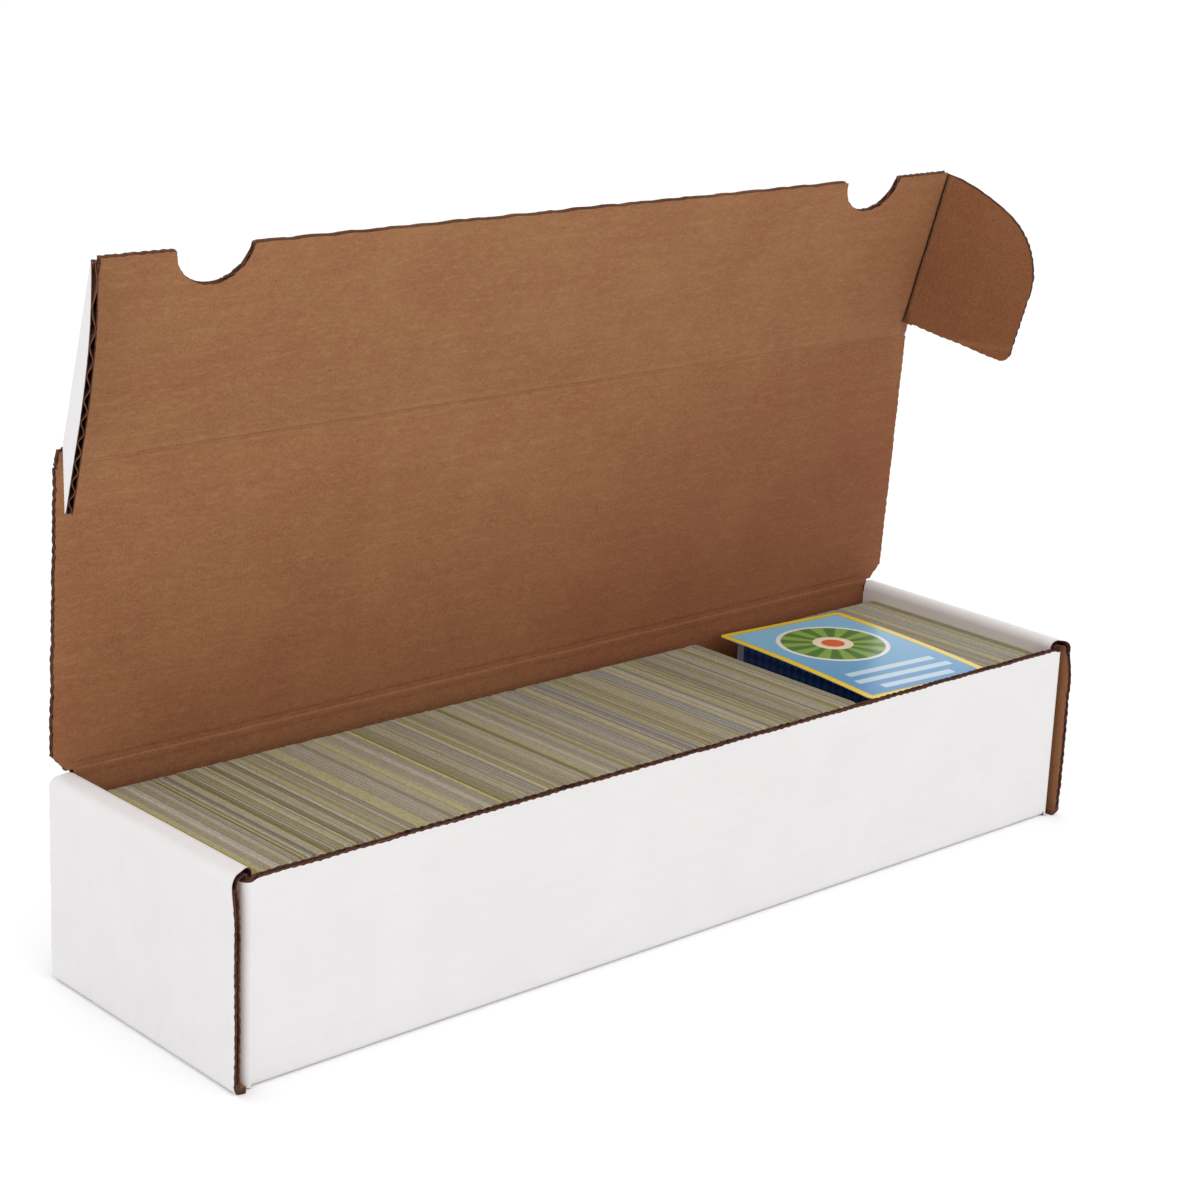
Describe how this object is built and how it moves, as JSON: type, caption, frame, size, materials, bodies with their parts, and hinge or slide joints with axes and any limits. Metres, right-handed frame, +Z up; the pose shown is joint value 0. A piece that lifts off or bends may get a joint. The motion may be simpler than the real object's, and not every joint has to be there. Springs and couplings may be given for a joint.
{
  "type": "card storage box",
  "caption": "Long die-cut corrugated card storage box with rolled end walls and a hinged lid whose front flap and side ears tuck in, filled with rows of standing cards.",
  "frame": {"origin": "centre of the underside of the tray, midway between the outer faces of the end walls and of the long walls", "axes": "+X to the right along the box, +Y to the lid's hinge at the back, +Z up"},
  "size_m": [0.4303, 0.1041, 0.2443],
  "materials": {
    "board": "matte",
    "cards": "matte"
  },
  "bodies": {
    "tray": {"bottom_panel": "board", "front_wall": "board", "back_wall": "board", "left_outer_end": "board", "left_rolled_top": "board", "left_inner_end": "board", "front_left_tab": "board", "back_left_tab": "board", "right_outer_end": "board", "right_rolled_top": "board", "right_inner_end": "board", "front_right_tab": "board", "back_right_tab": "board"},
    "lid": {"lid_panel": "board"},
    "flap": {"front_flap": "board"},
    "left_ear": {"left_ear": "board"},
    "right_ear": {"right_ear": "board"},
    "left_cards_1": {"left_cards_1": "cards"},
    "left_cards_2": {"left_cards_2": "cards"},
    "left_cards_3": {"left_cards_3": "cards"},
    "left_cards_4": {"left_cards_4": "cards"},
    "left_cards_5": {"left_cards_5": "cards"},
    "right_cards_1": {"right_cards_1": "cards"},
    "right_cards_2": {"right_cards_2": "cards"},
    "loose_card": {"loose_card": "cards"}
  },
  "joints": [
    {"name": "lid_hinge", "type": "hinge", "parent": "tray", "child": "lid", "pos_m": [0, 0.05015, 0.0734], "axis": [-1, 0, 0], "range_deg": [-87.2, 92.8]},
    {"name": "flap_crease", "type": "hinge", "parent": "lid", "child": "flap", "pos_m": [0, 0.04511, 0.17638], "axis": [-1, 0, 0], "range_deg": [-76.8, 13.2]},
    {"name": "left_ear_crease", "type": "hinge", "parent": "flap", "child": "left_ear", "pos_m": [-0.19455, 0.04511, 0.17638], "axis": [0, 0.2756, -0.9613], "range_deg": [-30, 60]},
    {"name": "right_ear_crease", "type": "hinge", "parent": "flap", "child": "right_ear", "pos_m": [0.19455, 0.04511, 0.17638], "axis": [0, -0.2756, 0.9613], "range_deg": [-20, 70]},
    {"name": "left_cards_1_lift", "type": "slide", "parent": "tray", "child": "left_cards_1", "axis": [0, 0, 1], "range_m": [0, 0.072]},
    {"name": "left_cards_2_lift", "type": "slide", "parent": "tray", "child": "left_cards_2", "axis": [0, 0, 1], "range_m": [0, 0.072]},
    {"name": "left_cards_3_lift", "type": "slide", "parent": "tray", "child": "left_cards_3", "axis": [0, 0, 1], "range_m": [0, 0.072]},
    {"name": "left_cards_4_lift", "type": "slide", "parent": "tray", "child": "left_cards_4", "axis": [0, 0, 1], "range_m": [0, 0.072]},
    {"name": "left_cards_5_lift", "type": "slide", "parent": "tray", "child": "left_cards_5", "axis": [0, 0, 1], "range_m": [0, 0.072]},
    {"name": "right_cards_1_lift", "type": "slide", "parent": "tray", "child": "right_cards_1", "axis": [0, 0, 1], "range_m": [0, 0.072]},
    {"name": "right_cards_2_lift", "type": "slide", "parent": "tray", "child": "right_cards_2", "axis": [0, 0, 1], "range_m": [0, 0.072]},
    {"name": "loose_card_lift", "type": "slide", "parent": "right_cards_1", "child": "loose_card", "axis": [0, 0, 1], "range_m": [0, 0.072]}
  ]
}
